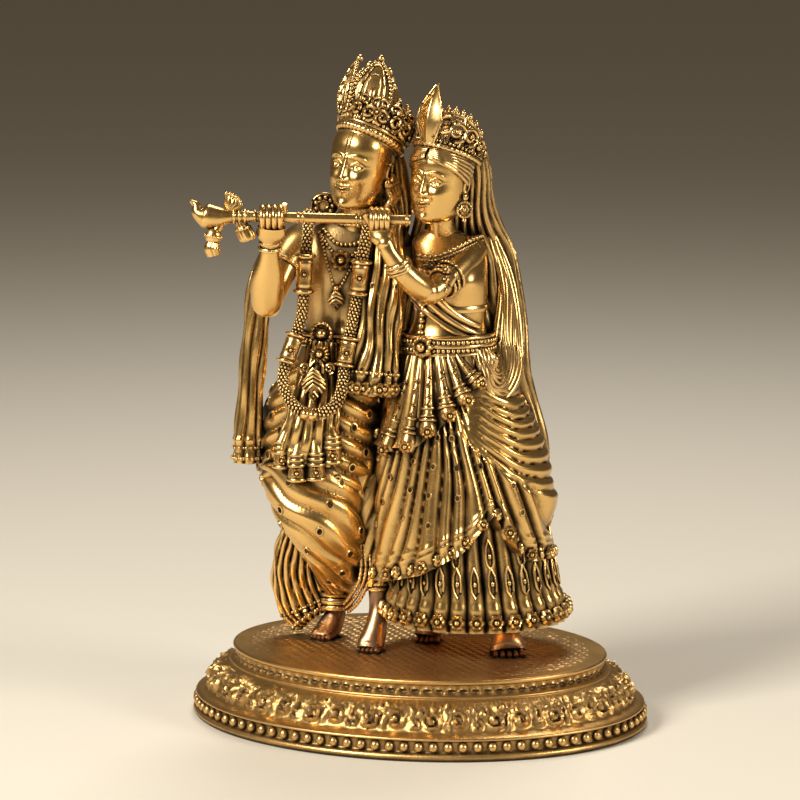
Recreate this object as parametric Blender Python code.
"""Radha and Krishna with one flute: a cast brass group on an oval moulded base.

Three pieces: the base, the couple cast as one group, and the loose flute that both of them hold.
Metres, +Z up. The origin is the middle of the base's underside, +X runs along the base's long axis
and the couple faces -Y. The group's own shape is written in parts of its height, measured across,
near and up as seen from the three-quarter front, from the middle of the base's top.
"""

import math

import bmesh
import bpy
import numpy as np
from mathutils import Matrix, Vector

# Driving sizes, in metres
GROUP_HEIGHT = 0.2055
BASE_LENGTH = 0.162
BASE_DEPTH = 0.132
BASE_HEIGHT = 0.0245
BASE_TOP_INSET = 0.0147
RIM_BAND_HEIGHT = 0.0059
FOOT_MOULDING_HEIGHT = 0.0085
FLUTE_RADIUS = 0.00175
FLUTE_FINIAL_LENGTH = 0.019
FIT_GAP = 0.0003
FOLIAGE_MOTIFS = 20

# The couple is turned on the base, and its drawing counts this many parts to its height
TURN = math.radians(22)
PARTS_HIGH = 205.5
PART = GROUP_HEIGHT / PARTS_HIGH

# Fineness of the castings: heads, crowns and hands keep more facets than the dress below them
CAST_VOXEL = 0.5 * PART
HEADS_FROM = 138
HEAD_TRIANGLES = 2550
DRESS_TRIANGLES = 4000
FLUTE_VOXEL = 0.0004
FINIAL_TRIANGLES = 380
# how strongly the thinning keeps off the heights that it is told to keep
KEEP_STRENGTH = 1000

# Rods and cutters: the bore runs on past the hand, and a slab trims the feet level
BORE_OVERRUN = 0.020
BORE_SIDES = 16
SHANK_OVERLAP = 0.003
SHANK_SIDES = 14
SLAB_WIDTH = 0.4
SLAB_DEPTH = 0.1

BRASS = (0.78, 0.53, 0.20, 1.0)
AGED_BRASS = (0.62, 0.43, 0.18, 1.0)


def clear_scene():
    for obj in list(bpy.data.objects):
        bpy.data.objects.remove(obj)


def metal(name, colour, roughness):
    material = bpy.data.materials.new(name)
    material.use_nodes = True
    shader = material.node_tree.nodes["Principled BSDF"]
    shader.inputs["Base Color"].default_value = colour
    shader.inputs["Roughness"].default_value = roughness
    shader.inputs["Metallic"].default_value = 1.0
    return material


def smooth_rows(rows, steps):
    """Points of a smooth curve through the rows, with so many steps to a span. Every column is eased."""
    rows = np.array(rows, float)
    held = np.vstack([2 * rows[0] - rows[1], rows, 2 * rows[-1] - rows[-2]])
    share = (np.arange(steps) / steps)[:, None]
    spans = []
    for a, b, c, d in zip(held, held[1:], held[2:], held[3:]):
        spans.append(
            0.5 * (2 * b + (c - a) * share + (2 * a - 5 * b + 4 * c - d) * share**2
                   + (3 * b - a - 3 * c + d) * share**3)
        )
    return np.vstack(spans + [rows[-1:]])


def local(across, near, up):
    """A point of the drawing, in parts, as x, y and z of the group's own space."""
    return np.stack([across, -near, up], axis=-1)


def through_rings(rings):
    """A closed solid through rings of as many points each, capped at both ends."""
    bm = bmesh.new()
    loops = [[bm.verts.new(point) for point in ring] for ring in rings]
    for lower, upper in zip(loops, loops[1:]):
        for i in range(len(lower)):
            j = (i + 1) % len(lower)
            bm.faces.new((lower[i], lower[j], upper[j], upper[i]))
    bm.faces.new(loops[0][::-1])
    bm.faces.new(loops[-1])
    bmesh.ops.recalc_face_normals(bm, faces=bm.faces)
    return bm


def limb(rows, sides=12, steps=4, wide=(1, 0, 0), folds=None):
    """A round form along a line. Each row is across, near, up, half width, half thickness."""
    line = smooth_rows(rows, steps)
    centres = local(line[:, 0], line[:, 1], line[:, 2])
    along = np.gradient(centres, axis=0)
    along /= np.linalg.norm(along, axis=1)[:, None]
    side = np.array((wide[0], -wide[1], wide[2]), float)
    side = side - along * (along @ side)[:, None]
    side /= np.linalg.norm(side, axis=1)[:, None]
    thick = np.cross(along, side)
    angle = np.arange(sides) * 2 * math.pi / sides
    rings = []
    for k, (centre, s, t) in enumerate(zip(centres, side, thick)):
        swell = 1.0 if folds is None else folds(angle, k / (len(centres) - 1))
        out = swell * np.ones(sides)
        across = (out * np.cos(angle) * line[k, 3])[:, None] * s
        deep = (out * np.sin(angle) * line[k, 4])[:, None] * t
        rings.append(centre + across + deep)
    return through_rings(rings)


def drawn_in(ring, share=0.05):
    """The same ring, shrunk about its middle."""
    return ring.mean(axis=0) + (ring - ring.mean(axis=0)) * share


def pile(rows, sides=24, steps=4, relief=None, hem=None):
    """A form of level ovals. Each row is up, middle across, middle near, half across, half near.

    hem gives how far down each angle reaches, so that a layer of cloth can end on a slant.
    relief(angle, up, around) lifts the surface along its oval, in parts.
    """
    line = smooth_rows(rows, steps)
    line = line[np.argsort(line[:, 0])]
    angle = np.arange(sides) * 2 * math.pi / sides
    degrees = np.degrees(angle)
    top = line[-1, 0]
    low = np.full(sides, line[0, 0]) if hem is None else hem(degrees)
    rings = []
    for level in np.linspace(0, 1, len(line)):
        up = low + (top - low) * level
        middle_a, middle_n, half_a, half_n = (np.interp(up, line[:, 0], line[:, c]) for c in (1, 2, 3, 4))
        lift = 0.0 if relief is None else relief(degrees, up, half_a * np.radians(90 - degrees))
        rings.append(local(middle_a + (half_a + lift) * np.cos(angle),
                           middle_n + (half_n + lift) * np.sin(angle), up))
    return through_rings([drawn_in(rings[0]) + (0, 0, 1.0)] + rings + [drawn_in(rings[-1])])


def egg(centre, half, turn=0.0, lean=0.0, rings=8, sides=12):
    """An ellipsoid of half sizes across, near and up, leaned over and turned about the upright."""
    bm = bmesh.new()
    bmesh.ops.create_uvsphere(bm, u_segments=sides, v_segments=rings, radius=1.0)
    spin = Matrix.Rotation(turn, 4, "Z") @ Matrix.Rotation(lean, 4, "Y")
    place = Matrix.Translation(Vector(local(*map(np.array, centre))))
    bm.transform(place @ spin @ Matrix.Diagonal((*half, 1.0)))
    return bm


def leaf(root, tip, half_width, thickness, facing):
    """A pointed petal from root to tip, broadest below its middle, its face turned to facing degrees."""
    shares = (0.0, 0.25, 0.5, 0.75, 1.0)
    breadths = (0.55, 1.0, 0.92, 0.55, 0.05)
    root, tip = np.array(root, float), np.array(tip, float)
    rows = [(*(root + (tip - root) * s), half_width * b, thickness * (0.5 + 0.5 * b))
            for s, b in zip(shares, breadths)]
    spin = math.radians(facing)
    return limb(rows, sides=10, steps=2, wide=(math.cos(spin), math.sin(spin), 0))


def pleats(position, count):
    """Round ridges side by side with sharp valleys between them, from 0 to 1."""
    return np.abs(np.sin(np.pi * position * count))


def around(points):
    """A value eased round the body between given angles in degrees, 0 to the right and 90 to the front."""
    angles, values = zip(*points)
    return lambda angle: np.interp(angle, angles, values, period=360)


def bump(x, middle, width):
    return np.exp(-(((x - middle) / width) ** 2))


def ring_round(half_across, half_near, tube, up=0.0, sides=8, steps=24):
    """A round cord laid in a level oval, as two halves that overlap at their ends."""
    forms = []
    for start in (-100, 80):
        turns = np.radians(np.linspace(start, start + 200, steps))
        rows = [(half_across * math.cos(t), half_near * math.sin(t), up, tube, tube) for t in turns]
        forms.append(limb(rows, sides=sides, steps=1, wide=(0, 0, 1)))
    return forms


def frame_at(centre, turn, tilt_back, lean=0.0):
    """A place for a head or crown: turned about the upright, then leaned and tilted back, in degrees."""
    return (Matrix.Translation(Vector(local(*map(np.array, centre))))
            @ Matrix.Rotation(math.radians(turn), 4, "Z")
            @ Matrix.Rotation(math.radians(-tilt_back), 4, "X") @ Matrix.Rotation(math.radians(lean), 4, "Y"))


def placed(forms, frame):
    for form in forms:
        form.transform(frame)
    return forms


# Level outlines of a head: up, half width, reach to the front, reach to the back, in shares of its half sizes
HEAD_ROWS = [(-1.0, 0.24, 0.72, -0.20), (-0.94, 0.50, 0.87, 0.05), (-0.80, 0.71, 0.94, 0.40),
             (-0.54, 0.87, 0.96, 0.75), (-0.25, 0.96, 0.96, 0.92), (0.0, 0.99, 0.94, 0.99),
             (0.25, 1.0, 0.95, 1.0),
             (0.52, 0.97, 0.93, 0.97), (0.78, 0.78, 0.74, 0.78), (0.93, 0.46, 0.44, 0.48),
             (1.0, 0.12, 0.12, 0.12)]


def face_lift(x, up):
    """How far a calm, even face stands forward of the plain oval, in shares of the head's half depth."""
    aside = np.abs(x)
    nose = np.interp(up, (-0.36, -0.30, 0.12, 0.24), (0.0, 0.22, 0.07, 0.0)) * bump(x, 0, 0.12)
    lift = nose + 0.07 * bump(aside, 0.13, 0.07) * bump(up, -0.29, 0.06)
    lift -= 0.10 * bump(aside, 0.36, 0.18) * bump(up, 0.03, 0.11)
    lift += 0.09 * bump(aside, 0.37, 0.14) * bump(up, 0.01, 0.055)
    lift += 0.05 * bump(aside, 0.34, 0.22) * bump(up, 0.19, 0.05)
    lift += 0.05 * bump(aside, 0.52, 0.20) * bump(up, -0.26, 0.15)
    lift += 0.07 * bump(x, 0, 0.17) * bump(up, -0.46, 0.04) + 0.08 * bump(x, 0, 0.14) * bump(up, -0.57, 0.045)
    lift -= 0.05 * bump(x, 0, 0.2) * bump(up, -0.515, 0.02) + 0.05 * bump(x, 0, 0.2) * bump(up, -0.68, 0.06)
    return lift + 0.08 * bump(x, 0, 0.20) * bump(up, -0.86, 0.10)


def head(half, sides=72, levels=60):
    """A plain oval head that looks along near, with its face and ears. half is across, near and up."""
    rows = smooth_rows(HEAD_ROWS, 8)
    angle = np.arange(sides) * 2 * math.pi / sides
    cos, sin = np.cos(angle), np.sin(angle)
    rings = []
    for up in -np.cos(np.linspace(0.02, 0.98, levels) * math.pi):
        wide, front, back = (np.interp(up, rows[:, 0], rows[:, c]) for c in (1, 2, 3))
        x = wide * np.sign(cos) * np.abs(cos) ** 0.9
        near = np.where(sin > 0, front * np.abs(sin) ** 0.85, -back * np.abs(sin))
        near = near + face_lift(x, up) * np.clip(sin, 0, 1) ** 0.5 * (sin > 0)
        rings.append(local(x * half[0], near * half[1], np.full(sides, up * half[2])))
    ears = [egg((side * half[0] * 0.97, -0.06 * half[1], -0.08 * half[2]), (1.1, 2.0, 3.4), lean=-side * 0.15)
            for side in (-1, 1)]
    return [through_rings(rings)] + ears


def hand_on_flute(wrist, grip, finger, width, count=4):
    """A palm from wrist to the flute and fingers that close round it, clear of its surface."""
    forms = []
    reach = (FLUTE_RADIUS + FIT_GAP) / PART + finger
    palm_end = (grip[0], grip[1] + 0.2, grip[2] - reach)
    middle = [(a + b) / 2 for a, b in zip(wrist, palm_end)]
    forms.append(limb([(*wrist, 2.9, 2.6), (*middle, width * 0.62, 2.7),
                       (*palm_end, width * 0.6, 2.0)], sides=10))
    for k in range(count):
        shift = (k - (count - 1) / 2) * width / count
        rows = []
        for degrees in range(-90, 181, 30):
            turn = math.radians(degrees)
            rows.append((grip[0] + shift, grip[1] + reach * math.cos(turn),
                         grip[2] + reach * math.sin(turn), finger, finger))
        forms.append(limb(rows, sides=8, steps=1))
    return forms


KRISHNA_HEAD = frame_at((-19.4, 2.0, 168.0), -29, 2, 7)
KRISHNA_CROWN = frame_at((-17.6, 1.2, 176.6), -30, 26, 9)
RADHA_HEAD = frame_at((7.4, 7.6, 163.4), -32, 0, 5)
RADHA_CROWN = frame_at((8.6, 6.2, 172.0), -35, 21, 5)
# the tall petals and the brow leaf stand more upright than the bands under them
KRISHNA_PETALS = frame_at((-18.6, 1.4, 178.0), -30, 22, 3)
RADHA_LEAF = frame_at((8.2, 6.6, 172.0), -35, 12, -6)
FLUTE_LEFT = (-58.0, 27.0, 153.0)
FLUTE_RIGHT = (-3.0, 27.0, 151.7)


def on_flute(across):
    """The point of the flute's axis at that place across."""
    share = (across - FLUTE_LEFT[0]) / (FLUTE_RIGHT[0] - FLUTE_LEFT[0])
    return tuple(a + (b - a) * share for a, b in zip(FLUTE_LEFT, FLUTE_RIGHT))


def krishna_body():
    """Torso, neck, arms, feet and head of the left figure, in a swayed pose."""
    forms = []
    forms.append(pile([
        (84, -31.0, -3, 17.0, 12.0), (98, -29.0, -3, 14.0, 10.5), (110, -27.0, -3, 12.0, 9.5),
        (122, -26.5, -3, 13.0, 10.0), (134, -26.0, -3, 15.5, 10.5), (141, -25.5, -3, 17.5, 8.5),
        (146, -24.5, -3, 12.0, 6.5), (149, -23.0, -3, 6.5, 5.0)]))
    forms.append(limb([(-23.5, -2.4, 141, 9.0, 6.0), (-22.5, -2, 145, 6.4, 5.6), (-21.4, 0, 151, 5.2, 5.2),
                       (-20, 2, 162, 5.6, 5.6)]))
    forms += placed(head((10.2, 12.0, 15.2)), KRISHNA_HEAD)
    forms.append(limb([(-41, -4, 142, 5.6, 5.0), (-45.5, -1, 135, 5.6, 5.0), (-49.5, 5, 126, 5.0, 4.8),
                       (-51.7, 12, 121, 4.4, 4.6)]))
    forms.append(limb([(-51.5, 12, 119.5, 3.0, 3.0), (-51.7, 14, 122, 5.2, 5.0), (-51.3, 18, 131, 5.6, 4.8),
                       (-50.4, 22, 140, 3.4, 3.1), (-50.0, 24, 145, 3.0, 2.7)]))
    forms += hand_on_flute((-50, 24, 144), on_flute(-49.5), 1.15, 8.0)
    forms.append(limb([(-9, -5, 142, 5.4, 5.0), (-3, -11, 134, 5.2, 4.8), (5, -17, 126, 4.8, 4.4),
                       (14, -21, 128, 4.0, 3.4), (23, -20.5, 131, 3.4, 2.4), (28, -19, 132, 2.6, 1.6)]))
    forms.append(limb([(-29, -18, 14, 3.6, 3.6), (-29.5, -17, 7, 3.8, 4.2), (-31.5, -13.5, 3.2, 4.4, 3.4),
                       (-33.8, -9.5, 1.2, 4.2, 1.8), (-34.6, -8, 0.4, 3.2, 1.2)], sides=10))
    forms.append(limb([(-14.0, 1, 24, 3.8, 3.8), (-14.0, 3, 14, 3.2, 3.5), (-15.0, 6, 7.5, 4.0, 3.6),
                       (-16.6, 9.5, 2.4, 4.6, 3.2), (-17.2, 12, 0.4, 4.2, 2.2)], sides=10))
    return forms


def crown_wall(rows, lobes, depth):
    """A crown's wall as an oval band whose face is cast into upright lobes."""
    def lobed(angle, up, run):
        return depth * pleats(angle / 360, lobes)

    return pile(rows, sides=6 * lobes, steps=2, relief=lobed)


def petal(facing, radius, foot, tip, half_width):
    """A tall leaf of a crown with a thick border and a raised drop at its middle."""
    out = math.radians(facing)
    aim = np.array((math.sin(out), math.cos(out)))
    low, high = (*(aim * radius), foot), (*(aim * (radius - 0.6)), tip)
    drop = (*(aim * (radius + 0.9)), foot + 0.38 * (tip - foot))
    drop_form = egg(drop, (half_width * 0.36, 1.5, (tip - foot) * 0.24), turn=out)
    return [leaf(low, high, half_width, 1.3, -facing), drop_form]


def krishna_crown():
    """Rolled browband, a lobed tier, a pointed dome and four tall petals with a bead at each tip."""
    forms = ring_round(10.6, 12.0, 1.5)
    forms.append(crown_wall([
        (-1.5, 0, 0, 10.0, 11.4), (1, 0, 0, 10.5, 11.9), (4.5, 0, 0, 11.2, 12.4), (8, 0, 0, 10.8, 11.9),
        (10.5, 0, 0, 10.0, 10.8), (12, 0, 0, 7.4, 7.9), (16, 0, 0, 4.4, 4.7), (20, 0, 0, 1.8, 1.8)], 9, 1.3))
    for facing in (-8, 66, 100, 140, -77, -145):
        forms += petal(facing, 9.2, 7.5, 15.2, 3.2)
    tall = []
    # facing, radius, tip and half width of each tall petal
    for facing, radius, tip, wide in ((26, 7.2, 25.6, 6.8), (-36, 9.2, 24.7, 5.0), (-110, 7.4, 25.4, 5.6),
                                      (182, 7.0, 24.8, 5.6)):
        tall += petal(facing, radius, 6.0, tip, wide)
        out = math.radians(facing)
        tall.append(egg((radius * math.sin(out), radius * math.cos(out), tip + 0.3), (1.3, 1.3, 1.5)))
    return placed(forms, KRISHNA_CROWN) + placed(tall, KRISHNA_PETALS)


def krishna_hair():
    def strands(angle, share):
        return 1 + 0.12 * pleats(angle / (2 * math.pi), 9)

    return [limb([(-15.5, -7, 172, 8.0, 6.5), (-14.0, -9.5, 162, 9.4, 7.0), (-14.5, -11, 152, 11.0, 6.5),
                  (-18, -11, 140, 11.5, 5.0), (-21, -12, 128, 8.5, 3.4), (-22, -12.5, 119, 3.0, 1.6)],
                 sides=36, folds=strands)]


SWAG_PITCH = 6.4


def krishna_dhoti():
    """Hip wrap, the balloon of cloth over the forward leg, the standing leg and the ankle cuffs."""
    def swags(angle, up, run):
        return 2.4 * pleats((up + 0.42 * np.abs(run + 6) + 1.2 * np.sin(run / 9)) / SWAG_PITCH, 1)

    def winding(folds, depth, twist):
        return lambda angle, share: 1 + depth * pleats(angle / (2 * math.pi) + twist * share, folds)

    forms = [pile([
        (50, -33, -5, 17, 14), (60, -33.5, -4.5, 20.0, 16.5), (72, -33, -4, 21.0, 17.0),
        (84, -32, -4, 19.5, 15.5), (94, -30, -3.5, 16.0, 12.5), (100, -28.5, -3, 13.5, 10.5)],
        sides=72, steps=8, relief=swags)]
    forms.append(limb([
        (-40, -2, 66, 13.0, 12.0), (-36.5, 2, 56, 14.0, 13.0), (-32, 3, 46, 13.0, 12.0),
        (-28.5, 0, 36, 10.5, 10.0),
        (-27.5, -7, 28, 8.6, 8.6), (-28.3, -13, 21.5, 6.0, 6.2), (-28.8, -15, 17, 4.8, 5.0),
        (-29, -15.8, 12, 4.6, 4.8)], sides=48, steps=6, folds=winding(8, 0.18, 0.72)))
    forms.append(limb([
        (-22, -4, 66, 11.0, 12.0), (-18.5, -3, 52, 9.5, 11.0), (-16.5, -2, 40, 8.0, 9.5),
        (-15, -1, 30, 6.5, 8.0),
        (-14.2, 0, 22, 4.6, 5.4)], sides=54, steps=6, folds=winding(9, 0.14, -0.5)))
    for up, half in ((10.2, 6.2), (12.6, 6.4), (14.9, 6.0), (17.4, 6.3), (19.6, 5.8)):
        forms.append(egg((-28.9, -15.6, up), (half, half, 1.3)))
    return forms


def krishna_cloths():
    """The hanging scarf, the shawl from the shoulder, the sash with its rolled ends and the fanned tail."""
    def strip(rows, folds, depth=0.34):
        return limb(rows, sides=6 * folds,
                    folds=lambda angle, share: 1 + depth * pleats(angle / (2 * math.pi), folds))

    forms = [strip([
        (-44.0, -5, 141.5, 2.6, 2.2), (-50.0, -3, 137, 2.8, 2.0), (-54.0, -1, 128, 3.2, 2.0),
        (-55.8, 0, 112, 3.3, 1.9),
        (-57.6, 1, 92, 3.4, 1.9), (-58.8, 2, 76, 3.5, 1.9), (-58.9, 2, 70, 3.9, 2.4),
        (-58.9, 2, 65, 3.8, 2.4)], 7)]
    forms.append(strip([
        (-11, -6, 144, 4.4, 4.0), (-12, -1, 146, 4.4, 4.0), (-12, 7, 138, 4.8, 3.6),
        (-13.0, 11, 124, 5.4, 3.2),
        (-14.5, 13, 108, 6.4, 3.0), (-16.0, 14.5, 99, 7.0, 3.2), (-16.4, 15, 91.5, 7.4, 3.4)], 11))
    forms.append(strip([
        (-33, 10, 108, 3.4, 2.6), (-34.0, 12.5, 94, 5.6, 2.8), (-35.2, 15, 82, 7.0, 3.0),
        (-36.2, 16, 72, 7.4, 3.0),
        (-36.6, 16, 68, 7.0, 3.0)], 11))
    for across, near, up in ((-43.0, 16.8, 71), (-38.6, 18.2, 68.5), (-34.2, 18.2, 68.5), (-30.0, 17.0, 71)):
        forms.append(limb([(across, near, up + 7, 1.9, 1.7), (across, near, up + 3, 2.5, 2.3),
                           (across, near, up - 1.5, 2.9, 2.6), (across, near, up - 3.4, 1.8, 1.7)], sides=8))
    forms.append(strip([
        (-40, -10, 46, 3.2, 2.4), (-42.2, -13, 35, 5.4, 2.6), (-43.0, -15, 25, 7.0, 2.8),
        (-41.6, -16.5, 16, 8.0, 2.8),
        (-39, -17, 9.5, 7.2, 2.8), (-37, -17, 6.5, 4.6, 2.6)], 13))
    return forms


def garland():
    """The long garland: a cord down each side with four barrels, a loop over the lap, and the pendants."""
    left = [(-37.5, 6.5, 150), (-38.2, 10.5, 143), (-38.8, 11.5, 130), (-40.0, 11.5, 117), (-42.6, 13.5, 107),
            (-45.5, 16.5, 98), (-44.0, 20, 90), (-38.0, 23, 86.2), (-33.5, 23.5, 85.8)]
    right = [(-28.5, 23, 87.5), (-25.6, 19, 95), (-24.5, 15.5, 103), (-22.5, 13.5, 112), (-20.8, 12.5, 123),
             (-19.6, 12.5, 137), (-18.0, 9.5, 146)]
    forms = [limb([(*point, 1.9, 1.9) for point in left + right], sides=8, steps=2)]
    for top, foot in (((-38.5, 12.8, 138), (-39.2, 13.0, 125)), ((-42.0, 14.2, 110.5), (-45.4, 16.8, 101.5)),
                      ((-25.4, 17.0, 100.8), (-23.6, 15.5, 110.4)), ((-20.9, 13.5, 124.5),
                      (-19.4, 13.6, 136.5))):
        rows = [(*top, 2.9, 2.9), (*[(a + b) / 2 for a, b in zip(top, foot)], 2.5, 2.5), (*foot, 2.9, 2.9)]
        forms.append(limb(rows, sides=8, steps=2))
    forms.append(egg((-33.2, 8.5, 111), (3.0, 2.4, 3.0)))
    forms.append(egg((-33.6, 14.6, 105.2), (3.4, 2.2, 3.4)))
    forms.append(egg((-34.6, 17.2, 96.6), (5.2, 2.2, 6.6)))
    forms.append(egg((-27.0, 8.0, 136.2), (3.7, 2.0, 3.4)))
    return forms


def radha_body():
    """Torso, neck, head, the arm that holds the flute and the heel under the hem."""
    forms = [pile([
        (100, 10.0, 4, 17.0, 14.0), (108, 9.5, 4, 14.2, 11.5), (115, 10.5, 3.5, 12.4, 10.0),
        (123, 11.0, 4, 12.4, 11.0),
        (130, 10.6, 4.5, 12.8, 11.8), (137, 10.4, 2.0, 12.6, 9.0), (142, 8.6, 1, 10.8, 6.6),
        (145.5, 7.6, 1, 6.2, 5.0)])]
    forms.append(limb([(8.6, 1, 139, 9.6, 6.4), (8.2, 1.4, 143, 6.4, 5.4), (7.4, 3.4, 148, 4.5, 4.5),
                       (7, 6, 158, 5.0, 5.0)]))
    forms += placed(head((9.6, 11.2, 14.2)), RADHA_HEAD)
    forms.append(limb([(18.5, 2, 139, 5.4, 5.0), (15.5, 9, 135.5, 5.2, 4.8), (9.5, 17, 130.5, 4.6, 4.4),
                       (3.5, 23.0, 126.6, 4.0, 4.2), (1.6, 24.6, 125.6, 2.6, 2.8)], wide=(0, 0, 1)))
    forms.append(limb([(4.5, 23.0, 125.0, 3.2, 3.2), (0.5, 25.5, 128.0, 4.4, 4.2),
                       (-5.0, 28.5, 134.0, 3.9, 3.7),
                       (-9.6, 30.0, 140.5, 2.9, 2.7), (-11.2, 29.8, 144.0, 2.8, 2.6)], wide=(0.8, 0, 0.6)))
    forms += hand_on_flute((-11.4, 29.6, 144.2), on_flute(-13.4), 1.1, 6.6)
    forms.append(limb([(-3, -2, 138, 4.8, 4.6), (-9, -10, 128, 4.6, 4.4), (-17, -15, 120, 4.2, 3.8),
                       (-27, -15.5, 118, 3.4, 2.6), (-32, -14.5, 118, 2.4, 1.6)]))
    forms.append(limb([(28, 8, 16, 4.2, 4.2), (29.5, 12, 8, 4.8, 5.0), (30.4, 14.5, 3.5, 6.2, 5.4),
                       (30.6, 15.0, 0.4, 7.2, 6.0)], sides=12))
    forms.append(limb([(6, -8, 16, 4.0, 4.0), (5, -9, 8, 4.2, 4.2), (3.6, -7.5, 3.4, 4.6, 4.6),
                       (3.0, -6.5, 0.4, 4.8, 5.0)], sides=12))
    return forms


def radha_crown():
    """A tiara: a rolled band, one tall leaf over the brow and a crest that steps down to the back."""
    forms = ring_round(10.2, 11.8, 1.1)
    forms.append(crown_wall([(-1, 0, 0, 9.8, 11.2), (2, 0, 0, 10.2, 11.6), (4.5, 0, -0.3, 10.0, 11.2),
                             (7.5, 0, -1, 8.2, 9.2), (10, 0, -1.6, 5.0, 5.6)], 11, 1.0))
    for side in (-1, 1):
        for facing, radius, tip in ((20, 11.2, 14.6), (42, 10.9, 14.2), (66, 10.5, 12.0), (92, 10.2, 8.2)):
            forms += petal(side * facing, radius, 1.2, tip, 3.6)
    earrings = [egg((side * 10.2, 0.5, -17.0), (1.2, 2.4, 2.4)) for side in (-1, 1)]
    return placed(forms + earrings, RADHA_CROWN) + placed(petal(0, 11.3, 2.0, 22.6, 4.6), RADHA_LEAF)


def radha_veil():
    def strands(angle, up, run):
        return 1.8 * pleats(angle / 360 + 0.011 * np.sin(up / 9.5 + angle / 21), VEIL_FOLDS)

    return [pile([
        (56, 18.0, -8, 25.0, 18.0), (71, 17.6, -9, 25.4, 16.0), (92, 16.0, -9.5, 21.6, 13.0),
        (113, 15.5, -10, 20.0, 10.5), (134, 14.5, -9.5, 17.4, 8.5), (146, 13.6, -8, 13.4, 8.0),
        (155, 13.0, -6, 11.0, 8.5), (166, 12.6, -3.5, 10.0, 9.6), (172, 12.2, -1.5, 8.6, 9.6)],
        sides=6 * VEIL_FOLDS, relief=strands)]


MIDDLE_LAYER = [(25, 14.0, 2.0, 29.0, 28.5), (40, 15.0, 2.0, 29.2, 28.0), (58, 15.5, 2.0, 29.6, 25.0),
                (74, 14.5, 2.5, 27.0, 22.0), (90, 12.5, 3.0, 21.0, 17.5), (104, 10.0, 4.0, 15.0, 12.5),
                (109, 9.6, 4.0, 13.6, 11.4)]
MIDDLE_HEM = around([(0, 32), (25, 34), (48, 35), (62, 44), (72, 51), (90, 39), (118, 30.5), (150, 26),
(180, 25),
                     (230, 27), (300, 30)])
APRON_HEM = around([(0, 107), (58, 107), (72, 95), (90, 87), (105, 80), (122, 73.5), (150, 72), (185, 73),
                    (205, 90), (225, 107)])
VEIL_FOLDS = 24
FLUTES = 30
# each fan of folds runs out from one point: its run from the front, its height, and folds to a half turn
SARI_FAN = (-4.0, 112.0, 38)
APRON_FAN = (-3.0, 130.0, 42)


def radha_skirts():
    """The pleated skirt, the sari's layer that fans from the waist over it, and the short apron on top."""
    def fan(run, up, apex):
        return pleats(np.arctan2(run - apex[0], apex[1] - up) / math.pi, apex[2])

    def sari_folds(angle, up, run):
        return (2.4 + 0.9 * np.clip(run / 25, 0, 1)) * fan(run, up, SARI_FAN)

    def apron_folds(angle, up, run):
        return 1.8 * fan(run, up, APRON_FAN) * np.clip((112 - up) / 10, 0.2, 1)

    under = pile([
        (11, 19.5, 3.0, 30.0, 27.0), (15, 19.5, 3.0, 29.4, 26.6), (26, 19.0, 3.0, 26.6, 25.0),
        (44, 17.5, 2.5, 24.5, 23.0), (66, 16.0, 2.5, 22.0, 20.0)],
        sides=6 * FLUTES, relief=lambda angle, up, run: 2.3 * pleats(angle / 360, FLUTES))
    middle = pile(MIDDLE_LAYER, sides=300, relief=sari_folds, hem=MIDDLE_HEM)
    apron_rows = [(up, across, near, half + 2.6, deep + 2.8)
                  for up, across, near, half, deep in MIDDLE_LAYER[3:]]
    apron = pile([(70, 14.4, 2.5, 30.0, 25.6)] + apron_rows, sides=240, relief=apron_folds, hem=APRON_HEM)
    belt = pile([(105.5, 9.8, 4.0, 15.6, 13.2), (107.5, 9.7, 4.0, 16.2, 13.8),
                 (111, 9.8, 4.0, 14.8, 12.4)], steps=2)
    return [under, middle, apron, belt]


def mesh_object(name, forms, material):
    """One object from several overlapping forms, moved from the drawing's parts to its place on the base."""
    merged = bpy.data.meshes.new(name)
    bm = bmesh.new()
    for form in forms:
        piece = bpy.data.meshes.new("form")
        form.to_mesh(piece)
        form.free()
        bm.from_mesh(piece)
        bpy.data.meshes.remove(piece)
    bm.transform(Matrix.Translation((0, 0, BASE_HEIGHT)) @ Matrix.Rotation(TURN, 4, "Z")
                 @ Matrix.Scale(PART, 4))
    bm.to_mesh(merged)
    bm.free()
    obj = bpy.data.objects.new(name, merged)
    obj.data.materials.append(material)
    bpy.context.scene.collection.objects.link(obj)
    return obj


def apply_modifiers(obj):
    bpy.context.view_layer.update()
    graph = bpy.context.evaluated_depsgraph_get()
    mesh = bpy.data.meshes.new_from_object(obj.evaluated_get(graph))
    obj.modifiers.clear()
    obj.data = mesh


def keep_largest_shell(obj):
    """Drops the crumbs that a remesh leaves inside or beside the casting."""
    bm = bmesh.new()
    bm.from_mesh(obj.data)
    left = set(bm.verts)
    shells = []
    while left:
        found = [left.pop()]
        for vert in found:
            for edge in vert.link_edges:
                other = edge.other_vert(vert)
                if other in left:
                    left.remove(other)
                    found.append(other)
        shells.append(found)
    shells.sort(key=len)
    for shell in shells[:-1]:
        bmesh.ops.delete(bm, geom=shell, context="VERTS")
    bm.to_mesh(obj.data)
    bm.free()


def triangle_count(mesh, above=None):
    """Triangles in all, or only those of faces that lie above a height."""
    faces = mesh.polygons
    return sum(len(f.vertices) - 2 for f in faces if above is None or f.center.z > above)


def fuse(obj, voxel):
    """Overlapping forms become one skin, as a casting is."""
    remesh = obj.modifiers.new("Fuse", "REMESH")
    remesh.mode = "VOXEL"
    remesh.voxel_size = voxel
    apply_modifiers(obj)
    keep_largest_shell(obj)


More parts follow.
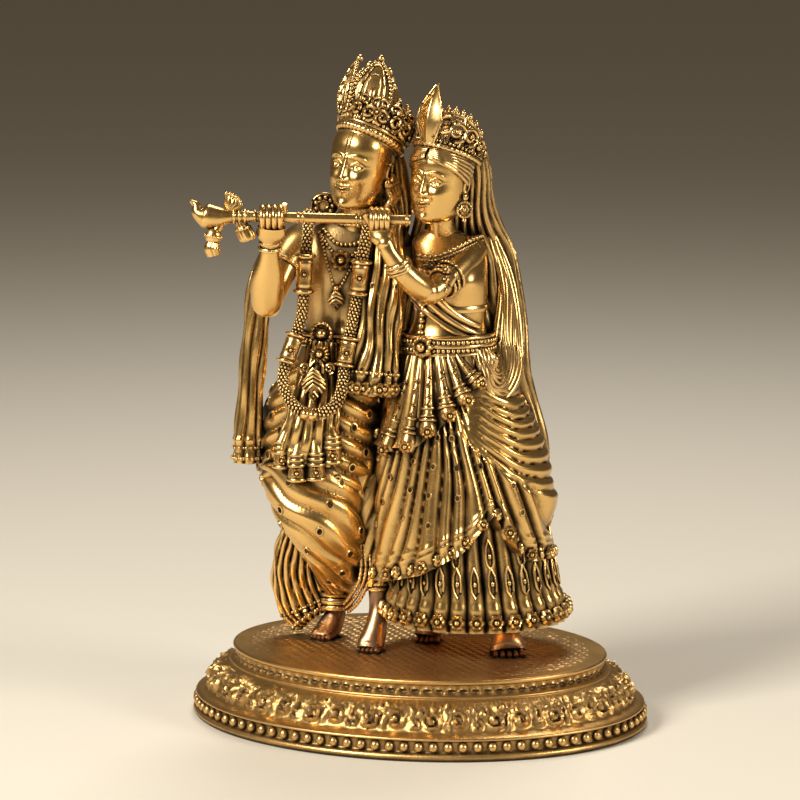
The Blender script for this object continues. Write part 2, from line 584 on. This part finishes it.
def thin(obj, triangles, keep=None):
    """Fewer facets where the form is calm. keep(z) marks heights where the mesh stays as it is."""
    decimate = obj.modifiers.new("Thin", "DECIMATE")
    decimate.ratio = min(1.0, triangles / triangle_count(obj.data))
    decimate.use_collapse_triangulate = True
    if keep is not None:
        group = obj.vertex_groups.new(name="kept")
        group.add([v.index for v in obj.data.vertices if keep(v.co.z)], 1.0, "REPLACE")
        decimate.vertex_group = group.name
        decimate.invert_vertex_group = True
        decimate.vertex_group_factor = KEEP_STRENGTH
    apply_modifiers(obj)
    obj.vertex_groups.clear()


def in_place(point):
    """A point of the drawing, in metres on the base."""
    spot = Vector(local(*map(np.array, point))) * PART
    return Matrix.Translation((0, 0, BASE_HEIGHT)) @ Matrix.Rotation(TURN, 4, "Z") @ spot


def rod(name, start, end, radius, sides):
    """A cylinder between two points in metres."""
    bm = bmesh.new()
    length = (end - start).length
    bmesh.ops.create_cone(bm, cap_ends=True, segments=sides, radius1=radius, radius2=radius, depth=length)
    aim = (end - start).to_track_quat("Z", "Y").to_matrix().to_4x4()
    bm.transform(Matrix.Translation((start + end) / 2) @ aim)
    mesh = bpy.data.meshes.new(name)
    bm.to_mesh(mesh)
    bm.free()
    obj = bpy.data.objects.new(name, mesh)
    bpy.context.scene.collection.objects.link(obj)
    return obj


def as_cutter(obj):
    obj.hide_render = True
    obj.display_type = "WIRE"
    return obj


def cut(obj, cutter):
    difference = obj.modifiers.new("Cut " + cutter.name, "BOOLEAN")
    difference.operation = "DIFFERENCE"
    difference.object = cutter
    difference.solver = "EXACT"


def make_group(brass):
    forms = (krishna_body() + krishna_crown() + krishna_hair() + krishna_dhoti() + krishna_cloths()
             + garland() + radha_body() + radha_crown() + radha_veil() + radha_skirts())
    group = mesh_object("figure_group", forms, brass)
    fuse(group, CAST_VOXEL)
    line = BASE_HEIGHT + HEADS_FROM * PART
    dress = triangle_count(group.data) - triangle_count(group.data, line)
    thin(group, dress + HEAD_TRIANGLES, keep=lambda z: z <= line)
    thin(group, DRESS_TRIANGLES + HEAD_TRIANGLES, keep=lambda z: z > line)
    start, end = in_place(FLUTE_LEFT), in_place(FLUTE_RIGHT)
    along = (end - start).normalized()
    bore = rod("flute_bore", start - along * BORE_OVERRUN, end + along * 2 * FIT_GAP,
               FLUTE_RADIUS + FIT_GAP, BORE_SIDES)
    cut(group, as_cutter(bore))
    slab = bpy.data.meshes.new("ground")
    bm = bmesh.new()
    bmesh.ops.create_cube(bm, size=1.0)
    bm.transform(Matrix.Translation((0, 0, BASE_HEIGHT + FIT_GAP - SLAB_DEPTH / 2))
                 @ Matrix.Diagonal((SLAB_WIDTH, SLAB_WIDTH, SLAB_DEPTH, 1)))
    bm.to_mesh(slab)
    bm.free()
    ground = bpy.data.objects.new("ground", slab)
    bpy.context.scene.collection.objects.link(ground)
    cut(group, as_cutter(ground))
    return group


def make_flute(brass):
    """The flute's rod, with a bird and its feathers at the far end, and a tassel and a bell under it."""
    tail = FLUTE_FINIAL_LENGTH / PART
    ax, near, up = FLUTE_LEFT
    forms = [
        limb([(ax - tail * 0.98, near, up + 5.2, 0.5, 0.5), (ax - tail * 0.88, near, up + 3.6, 1.5, 1.4),
              (ax - tail * 0.84, near, up + 1.4, 2.4, 2.4), (ax - tail * 0.70, near, up + 0.2, 4.0, 3.8),
              (ax - tail * 0.50, near, up - 0.2, 3.4, 3.2), (ax - tail * 0.25, near, up, 1.9, 1.9),
              (ax + 1.0, near, up, 1.8, 1.8)], sides=10, steps=3, wide=(0, 0, 1)),
        limb([(ax - 6.5, near, up, 1.6, 1.6), (ax - 5.0, near, up + 3.0, 3.0, 1.6),
              (ax - 4.4, near, up + 6.2, 4.0, 1.5),
              (ax - 4.6, near, up + 7.4, 3.6, 1.0)], sides=10, steps=2),
        egg((ax - 11.0, near + 1.0, up - 6.5), (2.8, 2.6, 3.0)),
        limb([(ax - 7.5, near, up - 0.5, 1.3, 1.3), (ax - 9.8, near + 0.8, up - 4.5, 1.6, 1.6),
              (ax - 11.5, near + 1.2, up - 9.5, 2.4, 2.2),
              (ax - 10.6, near + 1.2, up - 12.5, 1.6, 1.4)], sides=8),
        limb([(ax - 3.0, near, up - 0.5, 1.2, 1.2), (ax - 1.2, near, up - 3.6, 2.0, 1.8),
              (ax + 0.4, near, up - 7.0, 2.7, 2.4)], sides=8),
    ]
    flute = mesh_object("flute", forms, brass)
    fuse(flute, FLUTE_VOXEL)
    thin(flute, FINIAL_TRIANGLES)
    start, end = in_place(FLUTE_LEFT), in_place(FLUTE_RIGHT)
    along = (end - start).normalized()
    shank = rod("flute_shank", start - along * SHANK_OVERLAP, end, FLUTE_RADIUS, SHANK_SIDES)
    join = flute.modifiers.new("Join shank", "BOOLEAN")
    join.operation = "UNION"
    join.object = as_cutter(shank)
    join.solver = "EXACT"
    return flute


def make_base(brass):
    """The oval base: foot, round moulding, a flared band of foliage, a ledge, a hollow band and the rim."""
    sides = FOLIAGE_MOTIFS * 4
    angle = np.arange(sides) * 2 * math.pi / sides
    loops = np.abs(np.sin(angle * FOLIAGE_MOTIFS))
    foot = FOOT_MOULDING_HEIGHT
    ledge = BASE_HEIGHT - RIM_BAND_HEIGHT
    # one row for each ring of the moulding: how far in from the outer edge, height, relief
    profile = [
        (0.0010, 0.0, 0.0), (0.0, 0.0014, 0.0), (0.0018, 0.0030, 0.0),
        (0.0006, 0.0048, 0.0), (0.0018, 0.0066, 0.0), (0.0012, 0.0076, 0.0), (0.0044, foot + 0.0004, 0.0),
        (0.0064, foot + 0.0034, 0.0026 * loops), (0.0090, foot + 0.0066, 0.0020 * (1 - loops)),
        (BASE_TOP_INSET - 0.0016, ledge, 0.0), (BASE_TOP_INSET - 0.0014, ledge + 0.0008, 0.0),
        (BASE_TOP_INSET + 0.0009, ledge + 0.0016, 0.0), (BASE_TOP_INSET + 0.0005, BASE_HEIGHT - 0.0018, 0.0),
        (BASE_TOP_INSET - 0.0002, BASE_HEIGHT - 0.0010, 0.0), (BASE_TOP_INSET, BASE_HEIGHT, 0.0),
    ]
    rings = []
    for inset, height, relief in profile:
        out = relief - inset
        rings.append(np.stack([(BASE_LENGTH / 2 + out) * np.cos(angle),
        (BASE_DEPTH / 2 + out) * np.sin(angle),
                               np.full(sides, height)], axis=-1))
    mesh = bpy.data.meshes.new("base")
    bm = through_rings(rings)
    bm.to_mesh(mesh)
    bm.free()
    obj = bpy.data.objects.new("base", mesh)
    obj.data.materials.append(brass)
    bpy.context.scene.collection.objects.link(obj)
    return obj


clear_scene()
polished = metal("polished_brass", BRASS, 0.28)
aged = metal("aged_brass", AGED_BRASS, 0.42)
make_base(aged)
make_group(polished)
make_flute(polished)
for item in bpy.data.objects:
    item.data.shade_smooth()
    item.data.set_sharp_from_angle(angle=math.radians(40))
